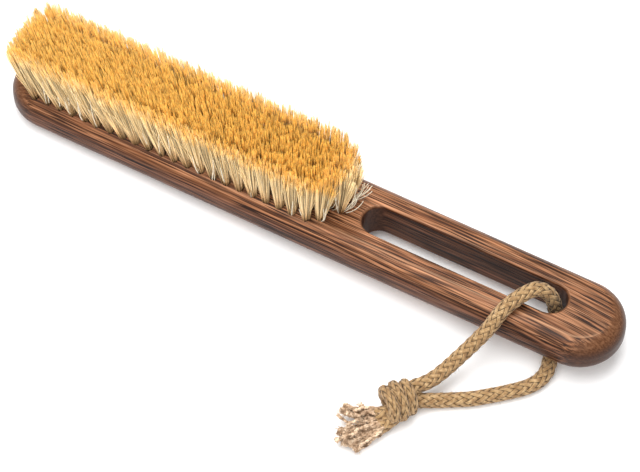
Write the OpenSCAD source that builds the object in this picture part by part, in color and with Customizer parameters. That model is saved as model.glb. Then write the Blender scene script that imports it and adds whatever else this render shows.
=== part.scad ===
// Bath and body brush: a stadium-shaped wooden block, rows of natural fibre
// tufts held by anchor wires, a hand slot and a knotted hanging cord.
// The brush lies on its back. The cord runs under the handle, so the handle
// end stands one cord thickness off the surface, which is the plane z = 0.

/* [Block] */
// Length of the block
block_l = 375; // [340:5:420]
// Width of the block
block_w = 50; // [48:1:56]
// Thickness of the block
block_t = 22.5; // [21:0.5:26]
// Radius of the block's long edges, top and bottom
edge_r = 9.5; // [6:0.5:10]

/* [Hand slot] */
// Length of the slot through the handle
slot_l = 121; // [118:1:124]
// Width of the slot
slot_w = 19; // [18:0.5:20]
// Distance from the handle's end to the slot
slot_end_gap = 33; // [30:1:36]
// Radius of the slot's rims
slot_rim_r = 1.5; // [0.5:0.5:2]

/* [Tufts] */
// Number of straight rows, each of five tufts across the block
straight_rows = 22; // [16:1:22]
// Distance between rows along the block
row_pitch = 8.2; // [8:0.1:9]
// Distance between tufts across the block
tuft_pitch = 8.8; // [8:0.1:9]
// Place of the last straight row towards the handle
first_row_x = 7.5; // [0:0.5:8]
// Diameter of a tuft hole
hole_d = 4.2; // [3.5:0.1:4.5]
// Depth of a tuft hole
hole_depth = 13; // [8:0.5:15]
// Height of the trimmed fibres above the wood
fibre_h = 33; // [20:1:40]
// Radius of one tuft at its trimmed tips
tip_r = 3.8; // [2.5:0.1:3.9]
// How far the tips at the far end lean outwards
far_lean = 10.5; // [0:0.5:11]
// How far the tips at the handle end lean outwards
near_lean = 1.5; // [0:0.5:3]

/* [Anchor wires] */
// Diameter of an anchor wire
wire_d = 0.9; // [0.6:0.1:1.2]
// Length of an anchor wire, across its hole and into the wood
wire_l = 5.6; // [5:0.2:7]

/* [Cord] */
// Diameter of the cord
cord_d = 8; // [7:0.5:8]

/* [Rest on the surface] */
// Rise of the handle end
pitch_deg = 1.4; // [1.4:0.1:1.6]
// Rise of the side that the cord passes under
roll_deg = 1.3; // [1.3:0.1:1.5]

/* [Hidden] */
$fn = 48;
slack = 1;
straight_l = block_l - block_w;
slot_r = slot_w / 2;
slot_x2 = block_l / 2 - slot_end_gap - slot_r;
slot_x1 = block_l / 2 - slot_end_gap - slot_l + slot_r;
top_z = block_t / 2;

// Rows of tufts: [place along the block, places across it]
five = [for (i = [-2:2]) i * tuft_pitch];
far_x = first_row_x - (straight_rows - 1) * row_pitch;
rows = concat(
    [[first_row_x + 13.5, [-4.6, 4.6]],
     [first_row_x + 6.8, [-14.1, -4.7, 4.7, 14.1]]],
    [for (i = [0:straight_rows - 1]) [first_row_x - i * row_pitch, five]],
    [[far_x - 6.8, [-12.9, -4.3, 4.3, 12.9]]]);

// The tips stand upright from here to the handle, and lean more and more beyond it
upright_x = -10;
lean_run = 150;
function lean(x) = x > upright_x
    ? near_lean * (x - upright_x) / (first_row_x + 13.5 - upright_x)
    : -far_lean * sin(90 * min(1, (upright_x - x) / lean_run));

// Height of the block's middle when the tilted block touches the surface
up = [sin(pitch_deg), -sin(roll_deg) * cos(pitch_deg), cos(roll_deg) * cos(pitch_deg)];
rest_z = edge_r + (block_t / 2 - edge_r) * up[2] + straight_l / 2 * up[0]
    + (block_w / 2 - edge_r) * norm([up[0], up[1]]);

// The cord's route, from the knot over the rail, through the slot, under the
// rail and back to the knot
knot_at = [100.5, -84, 9.8];
knot_turn = 61;
cord_route = [
    [101.5, -78, 10.5], [104, -73, 11.3], [107, -69, 11], [110, -63.5, 10.8], [113, -56.5, 12],
    [117, -46.5, 15.5], [121, -38, 20.6], [124.7, -30.4, 26.7], [127, -23.3, 32.6],
    [129.2, -17, 35], [132.8, -9, 36], [137, -2.2, 35.6], [141.5, 1, 32.5], [144.8, 2.6, 27],
    [146.5, 3.3, 20.5], [148, 3, 14], [149.5, 0, 8.5], [151.5, -6, 4.8], [154, -12.5, 4],
    [156.5, -19, 4], [158, -25.5, 4], [157.2, -32.5, 4], [153.5, -39.5, 4], [146, -47.5, 4],
    [139, -54, 4], [131.5, -60.5, 4], [123, -66.2, 4], [114.5, -72, 4.8], [106.5, -77.5, 6.2]];
end_a = [[97, -91, 7.8], [87, -97, 5.4], [78, -102.3, 5.4]];
end_a_r = [4, 4.2, 5];
end_b = [[99, -95, 6], [95, -106.5, 5.2], [91, -117, 6.8]];
end_b_r = [4, 4.8, 6.8];

function two(i) = i < 9 ? str("0", i + 1) : str(i + 1);
ROWS = [for (i = [0:len(rows) - 1]) str("tufts_", two(i))];

// Places a shape given in the block's own frame, origin at the block's middle
module on_block() {
    translate([0, 0, rest_z]) rotate([-roll_deg, -pitch_deg, 0]) children();
}

// Section of the block: a rectangle with round corners, half of it from the axis out
module half_section(w) {
    translate([0, -block_t / 2]) square([w / 2 - edge_r, block_t]);
    translate([0, edge_r - block_t / 2]) square([w / 2, block_t - 2 * edge_r]);
    for (s = [-1, 1])
        translate([w / 2 - edge_r, s * (block_t / 2 - edge_r)]) circle(r = edge_r);
}

module block_body() {
    rotate([90, 0, 90])
        linear_extrude(straight_l, center = true) {
            half_section(block_w);
            mirror([1, 0]) half_section(block_w);
        }
    for (s = [0, 180])
        rotate(s) translate([straight_l / 2, 0, 0]) rotate(-90)
            rotate_extrude(angle = 180) intersection() {
                half_section(block_w);
                translate([0, -block_t]) square([block_w, 2 * block_t]);
            }
}

// Section of the slot's cutter: straight walls that flare into round rims
module slot_section() {
    tall = block_t / 2 + slack;
    translate([0, -tall]) square([slot_r, 2 * tall]);
    for (s = [0, 1]) mirror([0, s])
        difference() {
            translate([0, top_z - slot_rim_r]) square([slot_r + slot_rim_r, slot_rim_r + slack]);
            translate([slot_r + slot_rim_r, top_z - slot_rim_r]) circle(r = slot_rim_r);
        }
}

module slot_cutter() {
    translate([slot_x1, 0, 0]) rotate([90, 0, 90])
        linear_extrude(slot_x2 - slot_x1) {
            slot_section();
            mirror([1, 0]) slot_section();
        }
    translate([slot_x2, 0, 0]) rotate(-90) rotate_extrude(angle = 180) slot_section();
    translate([slot_x1, 0, 0]) rotate(90) rotate_extrude(angle = 180) slot_section();
}

module brush_block() {
    color([0.36, 0.22, 0.16]) on_block() difference() {
        block_body();
        slot_cutter();
        for (row = rows, y = row[1])
            translate([row[0], y, top_z - hole_depth]) cylinder(h = hole_depth + slack, d = hole_d);
    }
}

// One tuft: a stem that fills its hole and a flared, leaning head, trimmed level
module tuft(x, y) {
    head_l = fibre_h + 6;
    turn = atan(lean(x) / fibre_h);
    stem_h = hole_depth + 0.5;
    translate([x, y, top_z]) {
        translate([0, 0, -hole_depth]) cylinder(h = stem_h, d = hole_d);
        intersection() {
            rotate([0, turn, 0])
                cylinder(h = head_l, r1 = hole_d / 2, r2 = hole_d / 2 + (tip_r - hole_d / 2) * head_l / fibre_h);
            translate([-20, -10, -1]) cube([40, 20, fibre_h + 1]);
        }
    }
}

module tuft_row(i) {
    color([0.9, 0.7, 0.38]) on_block()
        for (y = rows[i][1]) tuft(rows[i][0], y);
}

// The wire that each tuft is folded over, pressed across the bottom of its hole
module tuft_staples() {
    color([0.75, 0.75, 0.72]) on_block()
        for (row = rows, y = row[1])
            translate([row[0], y, top_z - hole_depth + 1.5 + wire_d / 2])
                rotate([90, 0, 0]) cylinder(h = wire_l, d = wire_d, center = true, $fn = 16);
}

// A tube swept along the points of a route. The radius may change along it.
function unit(v) = v / norm(v);
function tangent(p, i) = unit(p[min(i + 1, len(p) - 1)] - p[max(i - 1, 0)]);
side_hint = unit([0.8, -0.4, 0.45]);
function ring(p, r, i, sides) =
    let (t = tangent(p, i), u = unit(cross(side_hint, t)), v = cross(t, u))
    [for (k = [0:sides - 1]) p[i] + r[i] * (cos(360 * k / sides) * u + sin(360 * k / sides) * v)];

module swept_tube(p, r, sides = 10) {
    n = len(p);
    points = [for (i = [0:n - 1]) each ring(p, r, i, sides)];
    walls = [for (i = [0:n - 2], k = [0:sides - 1], h = [0, 1])
        let (a = i * sides + k, b = i * sides + (k + 1) % sides)
        h == 0 ? [a, a + sides, b] : [b, a + sides, b + sides]];
    caps = [[for (k = [0:sides - 1]) k], [for (k = [sides - 1:-1:0]) (n - 1) * sides + k]];
    polyhedron(points, concat(walls, caps));
}

module cord_loop() {
    color([0.78, 0.66, 0.48]) swept_tube(cord_route, [for (p = cord_route) cord_d / 2]);
}

// The overhand knot's outer shape: two wraps side by side round a full middle
module cord_knot() {
    wrap_r = 4.6;
    half_l = 3.8;
    around = 5.2;
    middle_l = 14;
    color([0.78, 0.66, 0.48]) translate(knot_at) rotate(knot_turn) rotate([0, 90, 0])
        rotate_extrude() {
            translate([0, -middle_l / 2]) square([around, middle_l]);
            for (s = [-1, 1]) translate([around, s * half_l]) circle(r = wrap_r);
        }
}

module frayed_end(p, r) {
    color([0.78, 0.66, 0.48]) swept_tube(p, r);
}

brush_block();
for (i = [0:len(rows) - 1])
    tuft_row(i);
tuft_staples();
cord_loop();
cord_knot();
frayed_end(end_a, end_a_r);  // cord_end_a
frayed_end(end_b, end_b_r);  // cord_end_b
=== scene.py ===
"""A wooden bath and body brush with natural fibre tufts and a knotted, braided hanging cord.

The CAD model gives the block, and where each tuft and cord piece lies. This script adds the
fibres, the braid, the knot and the frayed ends, the materials, the light and the camera.
Lengths are written in millimetres and multiplied by MM, because Blender's frame is in metres.
"""

import math

import bpy
import numpy as np
from mathutils import Matrix, Vector


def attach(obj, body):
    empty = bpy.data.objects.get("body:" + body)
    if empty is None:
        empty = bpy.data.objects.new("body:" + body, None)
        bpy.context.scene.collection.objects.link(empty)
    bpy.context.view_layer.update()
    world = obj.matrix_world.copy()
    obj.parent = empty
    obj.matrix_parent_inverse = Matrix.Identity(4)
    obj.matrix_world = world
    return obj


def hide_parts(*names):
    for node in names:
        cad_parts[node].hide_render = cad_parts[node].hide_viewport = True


MM = 0.001
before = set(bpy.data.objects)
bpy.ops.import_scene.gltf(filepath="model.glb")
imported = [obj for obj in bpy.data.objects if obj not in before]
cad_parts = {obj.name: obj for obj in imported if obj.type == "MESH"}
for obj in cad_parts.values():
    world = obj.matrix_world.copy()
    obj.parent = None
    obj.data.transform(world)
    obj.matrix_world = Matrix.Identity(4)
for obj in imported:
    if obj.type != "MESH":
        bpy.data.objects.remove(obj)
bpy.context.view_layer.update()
scene = bpy.context.scene
rng = np.random.default_rng(11)

# ---------------------------------------------------------------- the object's driving sizes

BLOCK_L, BLOCK_W, BLOCK_T, EDGE_R = 375.0, 50.0, 22.5, 9.5
TOP = BLOCK_T / 2
PITCH, ROLL = math.radians(1.4), math.radians(1.3)
STRAIGHT_ROWS, ROW_PITCH, TUFT_PITCH, FIRST_ROW_X = 22, 8.2, 8.8, 7.5
FAR_ROW_X = FIRST_ROW_X - (STRAIGHT_ROWS - 1) * ROW_PITCH
# The rows that round off the field, from its last straight rows: two at the handle, one far away
HANDLE_ROW_STEPS, FAR_ROW_STEP = (13.5, 6.8), 6.8
HOLE_R, FIBRE_H = 2.1, 33.0
FAR_LEAN, NEAR_LEAN, UPRIGHT_X, LEAN_RUN = 10.5, 1.5, -10.0, 150.0

CORD_D = 8.0
CARRIERS = 8
CORD_ROUTE = [
    (101.5, -78, 10.5), (104, -73, 11.3), (107, -69, 11), (110, -63.5, 10.8), (113, -56.5, 12),
    (117, -46.5, 15.5), (121, -38, 20.6), (124.7, -30.4, 26.7), (127, -23.3, 32.6),
    (129.2, -17, 35), (132.8, -9, 36), (137, -2.2, 35.6), (141.5, 1, 32.5), (144.8, 2.6, 27),
    (146.5, 3.3, 20.5), (148, 3, 14), (149.5, 0, 8.5), (151.5, -6, 4.8), (154, -12.5, 4),
    (156.5, -19, 4), (158, -25.5, 4), (157.2, -32.5, 4), (153.5, -39.5, 4), (146, -47.5, 4),
    (139, -54, 4), (131.5, -60.5, 4), (123, -66.2, 4), (114.5, -72, 4.8), (106.5, -77.5, 6.2),
]
KNOT_AT = np.array((100.3, -84.3, 10.4))
KNOT_TURN = math.radians(61)
KNOT_SQUASH = 0.78
# The braided stub of each end, from the knot to where its yarns come apart, and those yarns' tips
STUB_A = [(102, -87, 8.8), (98.5, -91, 7.6), (95.4, -94, 6.8), (93.4, -95.6, 6.5)]
STUB_B = [(103, -89, 6.4), (101.2, -94, 5.4), (99.2, -98.6, 5.0), (98.2, -100.6, 5.0)]
TIPS_A = [(76, -104, 5), (74, -100.5, 8), (79, -98.5, 8), (84, -96.5, 9), (81, -105.5, 4), (86, -101, 10)]
TIPS_B = [
    (80, -112.5, 6), (82.5, -116.5, 4), (87, -120, 3), (92.5, -122, 3), (99, -117, 3), (89, -112, 9),
    (94, -117, 8), (85, -115, 8),
]
YARNS_A, YARNS_B = 18, 34


def rest_height():
    """Height of the block's middle: the tilted block just touches the floor."""
    up = (
        math.sin(PITCH),
        -math.sin(ROLL) * math.cos(PITCH),
        math.cos(ROLL) * math.cos(PITCH),
    )
    return (
        EDGE_R
        + (BLOCK_T / 2 - EDGE_R) * up[2]
        + (BLOCK_L - BLOCK_W) / 2 * up[0]
        + (BLOCK_W / 2 - EDGE_R) * math.hypot(up[0], up[1])
    )


BLOCK_PLACE = (
    Matrix.Translation((0, 0, rest_height()))
    @ Matrix.Rotation(-PITCH, 4, "Y")
    @ Matrix.Rotation(-ROLL, 4, "X")
)


def on_block(points):
    """Points in the block's own frame, in millimetres, as frame points in millimetres."""
    place = np.array(BLOCK_PLACE)
    return np.asarray(points) @ place[:3, :3].T + place[:3, 3]


# ---------------------------------------------------------------- node helpers


class Shader:
    """A material whose nodes are made and linked in one call each."""

    def __init__(self, name):
        self.material = bpy.data.materials.new(name)
        self.material.use_nodes = True
        self.tree = self.material.node_tree
        self.tree.nodes.clear()
        self.output = self.add("ShaderNodeOutputMaterial")
        self.bsdf = self.add("ShaderNodeBsdfPrincipled")
        self.link(self.bsdf.outputs["BSDF"], self.output.inputs["Surface"])

    def add(self, kind, inputs=None, **settings):
        node = self.tree.nodes.new(kind)
        for key, value in settings.items():
            setattr(node, key, value)
        for key, value in (inputs or {}).items():
            self.feed(node.inputs[key], value)
        return node

    def link(self, source, target):
        self.tree.links.new(source, target)

    def feed(self, socket, value):
        if isinstance(value, bpy.types.NodeSocket):
            self.link(value, socket)
        else:
            socket.default_value = value

    def math(self, operation, a, b=0.0, clamp=False):
        node = self.add("ShaderNodeMath", {0: a, 1: b}, operation=operation, use_clamp=clamp)
        return node.outputs[0]

    def ramp(self, value, *stops):
        node = self.add("ShaderNodeValToRGB", {"Fac": value})
        elements = node.color_ramp.elements
        while len(elements) < len(stops):
            elements.new(0.5)
        for element, (place, colour) in zip(elements, stops):
            element.position = place
            element.color = (*colour, 1.0) if len(colour) == 3 else colour
        return node.outputs["Color"]

    def grey(self, value, *stops):
        return self.ramp(value, *[(place, (level,) * 3) for place, level in stops])

    def mix(self, factor, a, b, blend="MIX"):
        node = self.add("ShaderNodeMix", data_type="RGBA", blend_type=blend)
        self.feed(node.inputs[0], factor)
        self.feed(node.inputs[6], a if not isinstance(a, tuple) else (*a, 1.0))
        self.feed(node.inputs[7], b if not isinstance(b, tuple) else (*b, 1.0))
        return node.outputs[2]

    def noise(self, vector, scale=1.0, detail=2.0, roughness=0.5, distortion=0.0):
        values = {
            "Vector": vector,
            "Scale": scale,
            "Detail": detail,
            "Roughness": roughness,
            "Distortion": distortion,
        }
        return self.add("ShaderNodeTexNoise", values).outputs["Fac"]

    def mapped(self, vector, scale=(1, 1, 1), rotation=(0, 0, 0), location=(0, 0, 0)):
        values = {"Vector": vector, "Scale": scale, "Rotation": rotation, "Location": location}
        return self.add("ShaderNodeMapping", values).outputs["Vector"]

    def bump(self, height, strength, distance, normal=None):
        values = {"Height": height, "Strength": strength, "Distance": distance}
        node = self.add("ShaderNodeBump", values)
        if normal is not None:
            self.link(normal, node.inputs["Normal"])
        return node.outputs["Normal"]


# ---------------------------------------------------------------- materials


def wood():
    """Oiled walnut: long bands, fine streaks and open pores, all along the block. It has painted shade
    on its sides, is darker towards the handle, is plainer on the end grain, and has a painted highlight
    along the near arris."""
    s = Shader("walnut")
    texture = s.add("ShaderNodeTexCoord")
    place = s.mapped(texture.outputs["Object"], rotation=(ROLL, PITCH, 0))
    split = s.add("ShaderNodeSeparateXYZ", {"Vector": place})
    beyond = s.math("MAXIMUM", s.math("SUBTRACT", split.outputs["X"], 0.115), 0.0)
    bend = s.math("MULTIPLY", s.math("MULTIPLY", beyond, beyond), 0.7)
    turned = s.add(
        "ShaderNodeCombineXYZ",
        {"X": split.outputs["X"], "Y": s.math("ADD", split.outputs["Y"], bend), "Z": split.outputs["Z"]},
    ).outputs["Vector"]
    facing = s.add("ShaderNodeSeparateXYZ", {"Vector": texture.outputs["Normal"]})
    end_grain = s.grey(s.math("ABSOLUTE", facing.outputs["X"]), (0.05, 0.0), (0.32, 1.0))
    bands = s.noise(s.mapped(turned, scale=(5, 110, 110)), detail=2, distortion=0.3)
    streaks = s.noise(s.mapped(turned, scale=(21, 1050, 1050)), detail=2, roughness=0.6)
    threads = s.noise(s.mapped(turned, scale=(40, 1250, 1250)), detail=1.5, roughness=0.6)
    pores = s.noise(s.mapped(turned, scale=(26, 1150, 1150), location=(3, 5, 7)), detail=1)

    tone = s.math("ADD", s.math("MULTIPLY", bands, 0.12), s.math("MULTIPLY", streaks, 0.88))
    base = s.ramp(
        tone,
        (0.37, (0.105, 0.037, 0.015)),
        (0.46, (0.220, 0.087, 0.037)),
        (0.53, (0.320, 0.139, 0.064)),
        (0.63, (0.460, 0.216, 0.108)),
    )
    fine = s.grey(threads, (0.38, 0.35), (0.50, 0.88), (0.62, 1.30))
    coloured = s.mix(0.9, base, fine, "MULTIPLY")
    open_pore = s.grey(pores, (0.405, 1.0), (0.455, 0.0))
    grained = s.mix(open_pore, coloured, (0.036, 0.014, 0.007))
    plain = s.mix(0.3, (0.115, 0.047, 0.021), base)
    surface = s.mix(s.math("MULTIPLY", end_grain, 0.93), grained, plain)
    # Darker towards the handle end, by up to 22 percent
    handle_end_darkening = s.grey(split.outputs["X"], (0.04, 1.0), (0.17, 0.78))
    surface = s.mix(1.0, surface, handle_end_darkening, "MULTIPLY")
    level_up = s.math("ABSOLUTE", facing.outputs["Z"])
    # Painted shade: faces that stand upright, the block's sides, ends and slot walls, are multiplied down
    # towards 0.42 of the top's colour
    painted_side_shade = s.grey(level_up, (0.25, 1.0), (0.80, 0.0))
    # Painted highlight: a pale line along the top's arris, where the roundover starts, only on the front
    # side that faces the lights
    arris = s.grey(level_up, (0.986, 0.0), (0.991, 1.0), (0.995, 1.0), (0.9975, 0.0))
    surface = s.mix(painted_side_shade, surface, (0.42, 0.38, 0.42), "MULTIPLY")
    near = s.grey(s.math("MULTIPLY", facing.outputs["Y"], -1.0), (0.02, 0.0), (0.09, 1.0))
    painted_highlight = s.math("MULTIPLY", s.math("MULTIPLY", arris, near), 0.35)
    highlighted = s.mix(painted_highlight, surface, (0.62, 0.36, 0.20))
    s.feed(s.bsdf.inputs["Base Color"], highlighted)
    s.feed(s.bsdf.inputs["Roughness"], s.math("ADD", s.math("MULTIPLY", streaks, 0.25), 0.24))
    s.bsdf.inputs["Specular IOR Level"].default_value = 0.14
    relief = s.math("SUBTRACT", s.math("MULTIPLY", threads, 0.5), open_pore)
    level = s.math("MULTIPLY", relief, s.math("SUBTRACT", 1.0, end_grain))
    s.link(s.bump(level, 0.45, 0.00012), s.bsdf.inputs["Normal"])
    return s.material


def bristle():
    """Natural fibre, cream near the root and golden at the tip, with painted shade at the very root. U is
    a fibre's own tone and V the place along it. Inner tufts' fibres have painted shade over their lower
    part, near the wood, where the others stand round them."""
    s = Shader("natural_fibre")
    uv = s.add("ShaderNodeUVMap", uv_map="OFBake").outputs["UV"]
    split = s.add("ShaderNodeSeparateXYZ", {"Vector": uv})
    tone, along = split.outputs["X"], split.outputs["Y"]
    # Cream up the fibre and golden at the tip; the first stop, dark brown at the root, is painted shade
    length = s.ramp(
        along,
        (0.0, (0.27, 0.13, 0.05)),
        (0.12, (0.82, 0.54, 0.26)),
        (0.30, (1.00, 0.76, 0.42)),
        (0.66, (1.00, 0.785, 0.43)),
        (0.84, (0.95, 0.57, 0.15)),
        (1.0, (0.90, 0.49, 0.075)),
    )
    # Inner tufts: golden at the tip, with painted shade over the lower part, dark brown at the root
    inner_tint_and_painted_shade = s.ramp(
        along,
        (0.0, (0.15, 0.065, 0.022)),
        (0.40, (0.40, 0.205, 0.065)),
        (0.70, (0.98, 0.60, 0.165)),
        (1.0, (0.96, 0.53, 0.082)),
    )
    length = s.mix(s.math("GREATER_THAN", tone, OUTER_TONES / TONES), length, inner_tint_and_painted_shade)
    strand = s.math("FLOOR", s.math("MULTIPLY", tone, TONES))
    speck = s.add("ShaderNodeTexWhiteNoise", noise_dimensions="1D")
    s.link(strand, speck.inputs["W"])
    shade = s.grey(speck.outputs["Value"], (0.0, 0.30), (0.3, 0.78), (0.7, 1.0), (1.0, 1.25))
    coloured = s.mix(1.0, length, shade, "MULTIPLY")
    bleached = s.math("GREATER_THAN", tone, (TONES - 1) / TONES)
    s.feed(s.bsdf.inputs["Base Color"], s.mix(bleached, coloured, (0.98, 0.90, 0.72)))
    s.bsdf.inputs["Roughness"].default_value = 0.42
    s.bsdf.inputs["Specular IOR Level"].default_value = 0.45
    return s.material


def cotton():
    """Beige braid. Each strand has its own strip of U, across its section, and V runs along it:
    three yarns side by side, with painted shade in the grooves between them and where strands dive under
    each other."""
    s = Shader("braided_cotton")
    uv = s.add("ShaderNodeUVMap", uv_map="OFBake").outputs["UV"]
    split = s.add("ShaderNodeSeparateXYZ", {"Vector": uv})
    strip = s.math("MULTIPLY", split.outputs["X"], 2 * CARRIERS)
    turn = s.math("MULTIPLY", s.math("FRACT", strip), 2 * math.pi / 0.9)
    outward = s.math("SINE", turn)
    across = s.math("COSINE", turn)
    yarn = s.math("ABSOLUTE", s.math("COSINE", s.math("MULTIPLY", across, 1.5 * math.pi)))
    place = s.add("ShaderNodeTexCoord").outputs["Object"]
    threads = s.noise(s.mapped(uv, scale=(900, 160, 1)), detail=3, roughness=0.65)
    patches = s.noise(place, scale=420, detail=2)
    fluff = s.noise(place, scale=1900, detail=2)
    base = s.ramp(
        s.math("ADD", s.math("MULTIPLY", threads, 0.45), s.math("MULTIPLY", patches, 0.55)),
        (0.36, (0.245, 0.133, 0.055)),
        (0.50, (0.385, 0.233, 0.104)),
        (0.64, (0.600, 0.405, 0.208)),
    )
    # Painted shade in the grooves between the three yarns of a strand
    painted_groove_shade = s.grey(yarn, (0.0, 0.50), (0.45, 1.0))
    # Painted shade on each strand's sides and underside, where it dives under its neighbours, and a
    # slight painted highlight on its crown
    painted_strand_shade = s.grey(outward, (0.0, 0.10), (0.46, 0.48), (0.82, 1.05))
    s.feed(
        s.bsdf.inputs["Base Color"],
        s.mix(1.0, s.mix(1.0, base, painted_groove_shade, "MULTIPLY"), painted_strand_shade, "MULTIPLY"),
    )
    s.bsdf.inputs["Roughness"].default_value = 0.85
    s.bsdf.inputs["Specular IOR Level"].default_value = 0.25
    s.bsdf.inputs["Sheen Weight"].default_value = 0.15
    s.bsdf.inputs["Sheen Roughness"].default_value = 0.5
    relief = s.math("ADD", s.math("MULTIPLY", yarn, 1.2), s.math("MULTIPLY", fluff, 0.5))
    s.link(s.bump(relief, 0.7, 0.00025), s.bsdf.inputs["Normal"])
    return s.material


def loose_yarn():
    """The cord's inner yarns, paler and pinker where they have come apart."""
    s = Shader("loose_yarn")
    place = s.add("ShaderNodeTexCoord").outputs["Object"]
    patches = s.noise(place, scale=380, detail=2)
    fluff = s.noise(place, scale=2400, detail=2)
    base = s.ramp(
        s.math("ADD", s.math("MULTIPLY", patches, 0.6), s.math("MULTIPLY", fluff, 0.4)),
        (0.38, (0.26, 0.160, 0.095)),
        (0.50, (0.56, 0.385, 0.250)),
        (0.60, (0.94, 0.740, 0.540)),
    )
    s.feed(s.bsdf.inputs["Base Color"], base)
    s.bsdf.inputs["Roughness"].default_value = 0.85
    s.bsdf.inputs["Specular IOR Level"].default_value = 0.25
    s.link(s.bump(fluff, 0.6, 0.0002), s.bsdf.inputs["Normal"])
    return s.material


def wire():
    s = Shader("drawn_wire")
    place = s.add("ShaderNodeTexCoord").outputs["Object"]
    scratches = s.noise(s.mapped(place, scale=(4000, 300, 4000)), detail=2)
    s.feed(s.bsdf.inputs["Base Color"], s.grey(scratches, (0.3, 0.45), (0.7, 0.68)))
    s.bsdf.inputs["Metallic"].default_value = 1.0
    s.feed(s.bsdf.inputs["Roughness"], s.math("ADD", s.math("MULTIPLY", scratches, 0.3), 0.25))
    return s.material


def white_floor():
    """White acrylic lit a little from below, as under product photographs."""
    s = Shader("studio_floor")
    s.bsdf.inputs["Base Color"].default_value = (0.92, 0.92, 0.92, 1)
    s.bsdf.inputs["Roughness"].default_value = 0.7
    s.bsdf.inputs["Specular IOR Level"].default_value = 0.2
    s.bsdf.inputs["Emission Color"].default_value = (1, 1, 1, 1)
    s.bsdf.inputs["Emission Strength"].default_value = 0.06
    return s.material


# ---------------------------------------------------------------- mesh helpers


def add_piece(name, verts, faces, uvs, material):
    """A smooth-shaded mesh piece from arrays. faces is a list of index arrays, one per polygon size."""
    mesh = bpy.data.meshes.new(name)
    mesh.vertices.add(len(verts))
    mesh.vertices.foreach_set("co", np.asarray(verts, np.float32).ravel())
    loops = np.concatenate([f.ravel() for f in faces]).astype(np.int32)
    sizes = np.concatenate([np.full(len(f), f.shape[1]) for f in faces]).astype(np.int32)
    starts = np.concatenate([[0], np.cumsum(sizes)[:-1]]).astype(np.int32)
    mesh.loops.add(len(loops))
    mesh.loops.foreach_set("vertex_index", loops)
    mesh.polygons.add(len(sizes))
    mesh.polygons.foreach_set("loop_start", starts)
    mesh.polygons.foreach_set("use_smooth", np.ones(len(sizes), bool))
    layer = mesh.uv_layers.new(name="OFBake")
    layer.data.foreach_set("uv", np.asarray(uvs, np.float32).ravel())
    mesh.update(calc_edges=True)
    mesh.validate()
    mesh.materials.append(material)
    piece = bpy.data.objects.new(name, mesh)
    scene.collection.objects.link(piece)
    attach(piece, "root")
    return piece


def unit(v):
    return v / np.maximum(np.linalg.norm(v, axis=-1, keepdims=True), 1e-12)


class Tubes:
    """Collects many thin closed tubes, each with its own path and radii, into one mesh."""

    def __init__(self):
        self.verts, self.parts, self.count = [], [], 0

    def add(self, paths, radii, sides, u0, u1, v, up=None, flat=1.0):
        """paths: (n, rings, 3). radii and v: (n, rings) or (rings,). u0, u1: (n,) texture strip of
        each tube. up: (n, rings, 3) direction of a flattened section's short side."""
        n, rings = paths.shape[:2]
        radii = np.broadcast_to(radii, (n, rings))
        tangent = unit(np.gradient(paths, axis=1))
        if up is None:
            hint = np.where(np.abs(tangent[..., :1]) < 0.7, [[[1.0, 0, 0]]], [[[0, 1.0, 0]]])
            up = unit(np.cross(tangent, hint))
        else:
            up = unit(up - (up * tangent).sum(-1, keepdims=True) * tangent)
        side = np.cross(tangent, up)
        angle = np.linspace(0, 2 * math.pi, sides, endpoint=False)
        ring = (
            np.cos(angle)[None, None, :, None] * side[:, :, None]
            + flat * np.sin(angle)[None, None, :, None] * up[:, :, None]
        )
        verts = paths[:, :, None] + radii[:, :, None, None] * ring
        base = self.count + np.arange(n)[:, None, None] * rings * sides
        r = np.arange(rings - 1)[None, :, None] * sides
        k = np.arange(sides)[None, None, :]
        k2 = (k + 1) % sides
        quads = np.stack([base + r + k, base + r + k2, base + r + sides + k2, base + r + sides + k], -1)
        start = (base[:, 0] + np.arange(sides)[::-1][None]).reshape(n, sides)
        end = (base[:, 0] + (rings - 1) * sides + np.arange(sides)[None]).reshape(n, sides)
        u0, u1 = (np.broadcast_to(np.asarray(a, float), (n,)) for a in (u0, u1))
        v = np.broadcast_to(np.asarray(v, float), (n, rings))
        fraction = np.arange(sides + 1) / sides
        ua = u0[:, None] + (u1 - u0)[:, None] * fraction[None, :-1]
        ub = u0[:, None] + (u1 - u0)[:, None] * fraction[None, 1:]
        shape = (n, rings - 1, sides)
        va = np.broadcast_to(v[:, :-1, None], shape)
        vb = np.broadcast_to(v[:, 1:, None], shape)
        ua = np.broadcast_to(ua[:, None], shape)
        ub = np.broadcast_to(ub[:, None], shape)
        corners = [(ua, va), (ub, va), (ub, vb), (ua, vb)]
        uv_quads = np.stack([np.stack(corner, -1) for corner in corners], -2)
        mid = u0[:, None] + (u1 - u0)[:, None] * (0.5 + 0.4 * np.cos(angle)[None])
        uv_start = np.stack([mid[:, ::-1], np.broadcast_to(v[:, :1], mid.shape)], -1)
        uv_end = np.stack([mid, np.broadcast_to(v[:, -1:], mid.shape)], -1)
        self.verts.append(verts.reshape(-1, 3))
        self.parts.append((quads.reshape(-1, 4), uv_quads.reshape(-1, 2)))
        self.parts.append((start, uv_start.reshape(-1, 2)))
        self.parts.append((end, uv_end.reshape(-1, 2)))
        self.count += n * rings * sides

    def squash(self, centre, axis, factor):
        """Presses everything collected so far together along an axis."""
        for verts in self.verts:
            verts += ((verts - centre) @ axis)[:, None] * axis * (factor - 1)

    def settle(self):
        """Flattens what would sink below the floor."""
        for verts in self.verts:
            verts[:, 2] = np.maximum(verts[:, 2], 0.1)

    def piece(self, name, material, slot_name):
        faces = [f for f, _ in self.parts]
        uvs = np.concatenate([uv for _, uv in self.parts])
        verts = np.concatenate(self.verts) * MM
        return add_piece(name, verts, faces, uvs, material)


# ---------------------------------------------------------------- fibres


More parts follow.
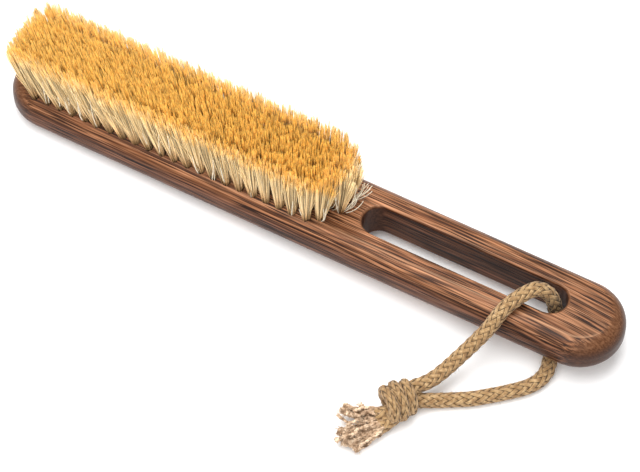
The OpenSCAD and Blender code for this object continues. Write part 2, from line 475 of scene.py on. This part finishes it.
def lean(x):
    """How far a tuft's tips lean along the block, from upright near the handle."""
    if x > UPRIGHT_X:
        return NEAR_LEAN * (x - UPRIGHT_X) / (FIRST_ROW_X + HANDLE_ROW_STEPS[0] - UPRIGHT_X)
    return -FAR_LEAN * math.sin(math.pi / 2 * min(1, (UPRIGHT_X - x) / LEAN_RUN))


def tuft_rows():
    """Each crosswise row from the handle to the far end: its x, and its tufts' places across."""
    five = [i * TUFT_PITCH for i in (-2, -1, 0, 1, 2)]
    end_x, next_x = (FIRST_ROW_X + step for step in HANDLE_ROW_STEPS)
    rows = [(end_x, [-4.6, 4.6]), (next_x, [-14.1, -4.7, 4.7, 14.1])]
    rows += [(FIRST_ROW_X - i * ROW_PITCH, five) for i in range(STRAIGHT_ROWS)]
    rows += [(FAR_ROW_X - FAR_ROW_STEP, [-12.9, -4.3, 4.3, 12.9])]
    return rows


# Each fibre has one of 32 tones: 16 for the field's outer tufts, 15 for inner ones, which get painted
# shade low down, one for strays
TONES = 32
OUTER_TONES = 16
FIBRES = 170
CLUMPS = 24
GOLDEN_ANGLE = math.pi * (3 - math.sqrt(5))
OUTER_Y = 17
ROOT_DEPTH = 1.5
STRAY_SHARE = 0.03
# Where a fibre's rings are along it, and how thick it is there
STEPS = np.array([0.0, 0.3, 0.6, 0.84, 1.0])
TAPER = np.array([1.0, 1.0, 0.95, 0.8, 0.4])


def bezier(a, b, c, steps):
    t = steps[None, :, None]
    return (1 - t) ** 2 * a[:, None] + 2 * t * (1 - t) * b[:, None] + t**2 * c[:, None]


def tuft_fibres(tubes, x, y):
    """One tuft: straight fibres that fan out from the hole in clumps, to a rough trimmed top."""
    n = FIBRES
    side_row, handle_end, far_end = abs(y) > OUTER_Y, x > FIRST_ROW_X, x < FAR_ROW_X
    outer = side_row or handle_end or far_end
    place = np.arange(CLUMPS)
    angle = place * GOLDEN_ANGLE + rng.random() * 2 * math.pi
    centre = np.stack([np.cos(angle), np.sin(angle)], -1) * np.sqrt((place + 0.5) / CLUMPS)[:, None]
    clump = rng.integers(0, CLUMPS, n)
    round_it = centre[clump] + rng.normal(0, 0.07, (n, 2))
    aside = rng.normal(0, 0.36, (n, 2))
    root = np.zeros((n, 3))
    root[:, :2] = (x, y) + round_it * (HOLE_R - 0.2) + rng.normal(0, 0.15, (n, 2))
    root[:, 2] = TOP - ROOT_DEPTH
    # The tips' spread: held in over the far end and splayed over the handle and the long sides
    fan = round_it * (5.0 if outer else 5.5) + aside
    if far_end:
        fan[:, 0] = np.where(fan[:, 0] < 0, fan[:, 0] * 0.35, fan[:, 0]) + 0.8
        fan[:, 1] = np.where(fan[:, 1] * y > 0, fan[:, 1] * 0.7, fan[:, 1])
    if handle_end:
        fan[:, 0] = np.where(fan[:, 0] > 0, fan[:, 0] * 1.5, fan[:, 0]) + 0.8
    if side_row:
        fan[:, 1] += math.copysign(1.3, y)
    height = FIBRE_H + rng.normal(0.6, 0.3) + rng.normal(0, 0.95, CLUMPS)[clump] + rng.normal(0, 0.5, n)
    height -= 1.1 * np.linalg.norm(aside, axis=-1)
    height -= 0.05 * (fan**2).sum(-1) + (1.8 if far_end else 0)
    tip = np.zeros((n, 3))
    tip[:, :2] = np.array((x + lean(x), y)) + fan
    tip[:, 2] = TOP + height
    middle = root + 0.5 * (tip - root)
    middle[:, :2] += (0.06 if outer else 0.2) * fan + rng.normal(0, 0.25, (n, 2))
    strays = rng.random(n) < STRAY_SHARE
    tip[strays, :2] += fan[strays] * 0.6 + rng.normal(0, 1.6, (strays.sum(), 2))
    tip[strays, 2] += rng.uniform(-8, 1.5, strays.sum())
    # Fibres at the field's outside stay cream further up: less of the golden end of V
    shell = np.abs(tip[:, 1]) / 22
    if x > FIRST_ROW_X + 10:
        shell = np.maximum(shell, 0.86 + (tip[:, 0] - x) / 20)
    if far_end:
        shell = np.maximum(shell, 0.9)
    golden = rng.normal(0.96, 0.06, n) - np.clip(shell - 0.72, 0, 1) * 0.55
    tones = (0, OUTER_TONES) if outer else (OUTER_TONES, TONES - 1)
    tone = (rng.integers(*tones, n) + 0.05) / TONES
    radius = rng.uniform(0.16, 0.27, n)[:, None] * TAPER
    paths = on_block(bezier(root, middle, tip, STEPS))
    v = 0.01 + 0.98 * STEPS[None] * np.clip(golden, 0, 1)[:, None]
    tubes.add(paths, radius, 3, tone, tone + 0.85 / TONES, v)


def bowed_strays(tubes, x, y, count, out, outward, rise):
    """Loose pale fibres that bow out of a tuft, over the wood. out: a direction along the wood."""
    out = np.array(out, float)
    side = np.array((-out[1], out[0]))
    root = np.tile([x + out[0], y + out[1], TOP - 1.0], (count, 1))
    root += rng.normal(0, 0.6, (count, 3)) * (1, 1, 0)
    reach = rng.uniform(*outward, count)
    climb = rng.uniform(*rise, count)
    tip = root.copy()
    tip[:, :2] += reach[:, None] * out + rng.normal(0, reach / 4)[:, None] * side
    tip[:, 2] += climb
    middle = root.copy()
    middle[:, :2] += (reach * rng.uniform(0.5, 0.95, count))[:, None] * out
    middle[:, 2] += climb * rng.uniform(0.15, 0.45, count)
    steps = np.linspace(0, 1, 7)
    tone = np.full(count, (TONES - 1) / TONES)
    radius = rng.uniform(0.21, 0.31, count)[:, None] * np.array([1, 1, 1, 0.95, 0.9, 0.75, 0.5])
    tubes.add(
        on_block(bezier(root, middle, tip, steps)), radius, 4, tone + 0.1 / TONES, tone + 0.9 / TONES,
        np.linspace(0.1, 0.5, 7),
    )


def make_fibres(material):
    for i, (x, across) in enumerate(tuft_rows()):
        tubes = Tubes()
        for y in across:
            tuft_fibres(tubes, x, y)
            if i == 0:
                bowed_strays(tubes, x, y, 8, (0.94, 0.34), (5, 12), (10, 26))
            elif i == 1:
                bowed_strays(tubes, x, y, 3, (0.9, math.copysign(0.43, y)), (3, 8), (10, 26))
            if abs(y) == max(across) and rng.random() < 0.7:
                out = (rng.uniform(-0.6, 0.6), math.copysign(0.85, y))
                bowed_strays(tubes, x, y, rng.integers(1, 4), out, (1, 4.5), (10, 27))
        piece = tubes.piece(f"fibres_{i + 1:02d}", material, "fibre")
        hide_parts(f"tufts_{i + 1:02d}")


# ---------------------------------------------------------------- cord


def smooth_path(points, step):
    """A Catmull-Rom curve through the points, resampled at an even step."""
    p = np.asarray(points, float)
    p = np.vstack([2 * p[0] - p[1], p, 2 * p[-1] - p[-2]])
    fine = []
    t = np.linspace(0, 1, 24, endpoint=False)[:, None]
    for i in range(len(p) - 3):
        a, b, c, d = p[i : i + 4]
        bend, twist = 2 * a - 5 * b + 4 * c - d, 3 * b - a - 3 * c + d
        fine.append(0.5 * (2 * b + (c - a) * t + bend * t**2 + twist * t**3))
    fine = np.vstack(fine + [p[-2][None]])
    run = np.concatenate([[0], np.cumsum(np.linalg.norm(np.diff(fine, axis=0), axis=1))])
    at = np.linspace(0, run[-1], max(3, int(run[-1] / step) + 1))
    return np.stack([np.interp(at, run, fine[:, k]) for k in range(3)], -1), at


def carried_frame(path):
    """Tangent and two normals along a path, carried along it without twist."""
    tangent = unit(np.gradient(path, axis=0))
    normal = np.zeros_like(path)
    start = np.cross(tangent[0], (0.0, 0.0, 1.0))
    normal[0] = start / np.linalg.norm(start)
    for i in range(1, len(path)):
        n = normal[i - 1] - tangent[i] * (normal[i - 1] @ tangent[i])
        normal[i] = n / np.linalg.norm(n)
    return tangent, normal, np.cross(tangent, normal)


LAY = 42.0


def braid(tubes, points, outer_r, step=0.55, swell=None):
    """A round braid: eight strands each way, each over two and under two."""
    path, at = smooth_path(points, step)
    _, normal, binormal = carried_frame(path)
    scale = outer_r / 4.1
    width, thick, wave = 1.28 * scale, 0.66 * scale, 0.46 * scale
    middle_r = outer_r - thick - wave
    factor = np.ones(len(at)) if swell is None else swell(at / at[-1])
    crossings = 2 * CARRIERS * at / (LAY * scale)
    for way in (1, -1):
        for i in range(CARRIERS):
            phase = 2 * math.pi * (i / CARRIERS + way * at / (LAY * scale))
            order = 2 * i + way * crossings
            over = way * np.cos(2 * math.pi * (order - 0.5) / 4)
            over = np.sign(over) * np.abs(over) ** 0.7
            out = np.cos(phase)[:, None] * normal + np.sin(phase)[:, None] * binormal
            line = path + out * ((middle_r + wave * over) * factor)[:, None]
            strand = i + (0 if way > 0 else CARRIERS)
            v0 = strand / (2 * CARRIERS)
            tubes.add(
                line[None], np.full(len(at), width), 10, [v0], [v0 + 0.9 / (2 * CARRIERS)],
                at / at[-1], up=out[None], flat=thick / width,
            )
    return path


def fuzz(tubes, path, count, reach, low, high):
    """Loose hairs that stand off a cord's surface."""
    _, normal, binormal = carried_frame(path)
    pick = rng.integers(1, len(path) - 1, count)
    angle = rng.random(count) * 2 * math.pi
    out = np.cos(angle)[:, None] * normal[pick] + np.sin(angle)[:, None] * binormal[pick]
    run = unit(path[pick] - path[pick - 1]) * rng.choice([-1, 1], count)[:, None]
    root = path[pick] + out * (reach - 0.5)
    length = rng.uniform(low, high, count)[:, None]
    middle = root + (out * 0.55 + run * 0.5) * length
    outwards, onwards = rng.uniform(0.5, 0.9, count)[:, None], rng.uniform(0.6, 1.3, count)[:, None]
    tip = root + (out * outwards + run * onwards) * length
    tip += rng.normal(0, 0.25, (count, 3))
    tip[:, 2] = np.maximum(tip[:, 2], 0.1)
    middle[:, 2] = np.maximum(middle[:, 2], 0.1)
    steps = np.linspace(0, 1, 4)
    strip = rng.random(count) * 0.95
    radii = np.array([0.06, 0.055, 0.045, 0.02])
    tubes.add(bezier(root, middle, tip, steps), radii, 3, strip, strip + 0.02, steps)


def make_loop(material):
    tubes = Tubes()
    path = braid(tubes, CORD_ROUTE, CORD_D / 2 + 0.2)
    fuzz(tubes, path, 700, CORD_D / 2, 0.8, 2.2)
    tubes.settle()
    loop = tubes.piece("braided_loop", material, "cotton_cord")
    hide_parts("cord_loop")
    return loop, path


KNOT_AXIS = -np.array((math.cos(KNOT_TURN), math.sin(KNOT_TURN), 0))


def knot_point(along, radius, angle):
    """A point of the knot: along its axis from the loop to the ends, then round the axis."""
    across = np.array((math.sin(KNOT_TURN), -math.cos(KNOT_TURN), 0))
    up = np.array((0, 0, 1.0))
    return KNOT_AT + along * KNOT_AXIS + radius * (math.cos(angle) * across + math.sin(angle) * up)


def make_knot(material):
    """The overhand knot's wraps, tight side by side, with both legs in and both ends out."""
    turns, first, pitch = 2.35, 2.2, 5.5 / KNOT_SQUASH
    half = turns * pitch / 2
    route = [knot_point(-half - 1.5, 1.5, first + 1.0), knot_point(-half - 0.6, 3.2, first + 0.5)]
    for t in np.linspace(0, 1, 23):
        radius = 5.5 + 1.7 * math.sin(math.pi * min(0.62, 0.1 + t * 0.62))
        route.append(knot_point(half * (2 * t - 1), radius, first - turns * 2 * math.pi * t))
    last = first - turns * 2 * math.pi
    route += [knot_point(half + 0.6, 4.2, last - 0.5), knot_point(half + 1.5, 2.0, last - 1.0)]
    tubes = Tubes()
    path = braid(tubes, route, 4.1, step=0.5)
    fuzz(tubes, path, 300, 4.0, 0.8, 2.0)
    tubes.squash(KNOT_AT, KNOT_AXIS, KNOT_SQUASH)
    for stub in (STUB_A, STUB_B):
        braid(tubes, stub, CORD_D / 2 + 0.1, step=0.5)
    tubes.settle()
    knot = tubes.piece("overhand_knot", material, "cotton_cord")
    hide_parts("cord_knot")
    return knot


def curl(start, heading, tip, tip_heading, length, rings):
    """Cubic paths from start to tip that leave and arrive in the given directions."""
    t = np.linspace(0, 1, rings)[None, :, None]
    b = start + heading * length / 2.6
    c = tip - tip_heading * length / 2.6
    a, b, c, d = (q[:, None] for q in (start, b, c, tip))
    return (1 - t) ** 3 * a + 3 * t * (1 - t) ** 2 * b + 3 * t**2 * (1 - t) * c + t**3 * d


def make_frayed_end(name, node, stub, tips, count, material):
    """The end of the braid, come apart into twisted yarns and their loose fibres.
    tips: points that the yarns spread between."""
    start, forward = np.array(stub[-1], float), unit(np.array(stub[-1], float) - stub[-2])
    side = unit(np.cross(forward, (0, 0, 1.0)))
    up = np.cross(side, forward)
    angle = rng.random(count) * 2 * math.pi
    ring = np.cos(angle)[:, None] * side + np.sin(angle)[:, None] * up
    root = start - forward * 3.0 + ring * rng.uniform(0.8, 3.0, count)[:, None]
    tips = np.array(tips, float)
    share = rng.dirichlet(np.full(len(tips), 0.35), count)
    tip = share @ tips + rng.normal(0, 0.9, (count, 3))
    tip[:, 2] += np.abs(rng.normal(0, 1.6, count))
    length = np.linalg.norm(tip - root, axis=1, keepdims=True)
    tip_heading = unit(unit(tip - root) + rng.normal(0, 1.2, (count, 3)))
    rings = 22
    line = curl(root, unit(forward + ring * 0.35), tip, tip_heading, length, rings)
    at = np.linspace(0, 1, rings)
    wobble = rng.random((count, 1)) * 6.3 + at[None] * length * 1.1
    line += 0.45 * (np.cos(wobble)[..., None] * side + np.sin(wobble)[..., None] * up)
    line[:, :, 2] = np.maximum(line[:, :, 2], 1.0)
    tangent = unit(np.gradient(line, axis=1))
    u = unit(np.cross(tangent, np.array((0.3, 0.2, 0.93))))
    w = np.cross(tangent, u)
    yarn_r = rng.uniform(0.85, 1.15, (count, 1))
    twist = rng.choice([1.0, 1.0, -1.0], (count, 1)) * at[None] * length * 2 * math.pi / 4.2
    tubes = Tubes()
    for ply in range(3):
        phase = twist + ply * 2 * math.pi / 3
        loosen = 0.5 + 0.35 * np.clip((at[None] - 0.8) / 0.2, 0, 1)
        off = np.cos(phase)[..., None] * u + np.sin(phase)[..., None] * w
        ply_path = line + off * (yarn_r * loosen)[..., None]
        ply_path[:, :, 2] = np.maximum(ply_path[:, :, 2], 0.6)
        radius = yarn_r * 0.56 * np.where(at[None] > 0.97, 0.6, 1.0)
        tubes.add(ply_path, radius, 6, np.zeros(count), np.ones(count), at)
        hairs = 5
        base = np.repeat(ply_path[:, -3], hairs, axis=0) + rng.normal(0, 0.25, (count * hairs, 3))
        heading = np.repeat(unit(ply_path[:, -1] - ply_path[:, -4]), hairs, axis=0)
        reach = rng.uniform(1.5, 4.5, (count * hairs, 1))
        middle = base + heading * reach * 0.55 + rng.normal(0, 0.4, base.shape)
        final = base + heading * reach + rng.normal(0, 0.9, base.shape)
        for pts in (middle, final):
            pts[:, 2] = np.maximum(pts[:, 2], 0.25)
        few = np.linspace(0, 1, 4)
        tubes.add(
            bezier(base, middle, final, few), np.array([0.26, 0.22, 0.15, 0.05]), 3,
            np.zeros(len(base)), np.ones(len(base)), few,
        )
    tubes.settle()
    piece = tubes.piece(name, material, "cotton_cord")
    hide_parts(node)
    return piece


# ---------------------------------------------------------------- stage


def make_camera():
    """The view: from the side of the cord, 55 degrees above the floor, through a long lens."""
    azimuth, elevation, roll = math.radians(28.41), math.radians(55.05), math.radians(1.21)
    aim = Vector((12.3, -10.3, 5.3)) * MM
    distance = 1492 * MM
    back = Vector((
        math.sin(azimuth) * math.cos(elevation),
        -math.cos(azimuth) * math.cos(elevation),
        math.sin(elevation),
    ))
    data = bpy.data.cameras.new("camera")
    data.sensor_width = 36
    data.lens = 154.4
    camera = bpy.data.objects.new("camera", data)
    camera.rotation_mode = "QUATERNION"
    turn = (-back).to_track_quat("-Z", "Y").to_matrix().to_4x4() @ Matrix.Rotation(roll, 4, "Z")
    camera.matrix_world = Matrix.Translation(aim + back * distance) @ turn
    scene.collection.objects.link(camera)
    scene.camera = camera


def area_light(name, place, aim, size, power):
    data = bpy.data.lights.new(name, "AREA")
    data.shape = "RECTANGLE"
    data.size, data.size_y = size
    data.energy = power
    light = bpy.data.objects.new(name, data)
    place, aim = Vector(place), Vector(aim)
    light.rotation_mode = "QUATERNION"
    light.rotation_quaternion = (aim - place).to_track_quat("-Z", "Y")
    light.location = place
    scene.collection.objects.link(light)


def make_stage():
    size = 3.0
    mesh = bpy.data.meshes.new("floor")
    corners = [(-size, -size, 0), (size, -size, 0), (size, size, 0), (-size, size, 0)]
    mesh.from_pydata(corners, [], [(0, 1, 2, 3)])
    mesh.materials.append(white_floor())
    floor = bpy.data.objects.new("floor", mesh)
    scene.collection.objects.link(floor)
    world = bpy.data.worlds.new("studio")
    world.use_nodes = True
    background = world.node_tree.nodes["Background"]
    background.inputs["Color"].default_value = (1.0, 1.0, 1.0, 1)
    background.inputs["Strength"].default_value = 0.52
    scene.world = world
    area_light("key", (-0.12, 0.0, 1.15), (0, 0, 0), (1.5, 0.9), 20.5)
    area_light("front", (0.35, -1.2, 1.0), (0, 0, 0), (1.8, 0.9), 10)
    scene.view_settings.view_transform = "Standard"


# ---------------------------------------------------------------- the scene

make_camera()
make_stage()
cord_cotton = cotton()
loop, loop_path = make_loop(cord_cotton)
knot = make_knot(cord_cotton)
yarn = loose_yarn()
end_a = make_frayed_end("frayed_end_a", "cord_end_a", STUB_A, TIPS_A, YARNS_A, yarn)
end_b = make_frayed_end("frayed_end_b", "cord_end_b", STUB_B, TIPS_B, YARNS_B, yarn)

make_fibres(bristle())

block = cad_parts["brush_block"]
block.data.materials.clear()
block.data.materials.append(wood())
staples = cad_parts["tuft_staples"]
staples.data.materials.clear()
staples.data.materials.append(wire())
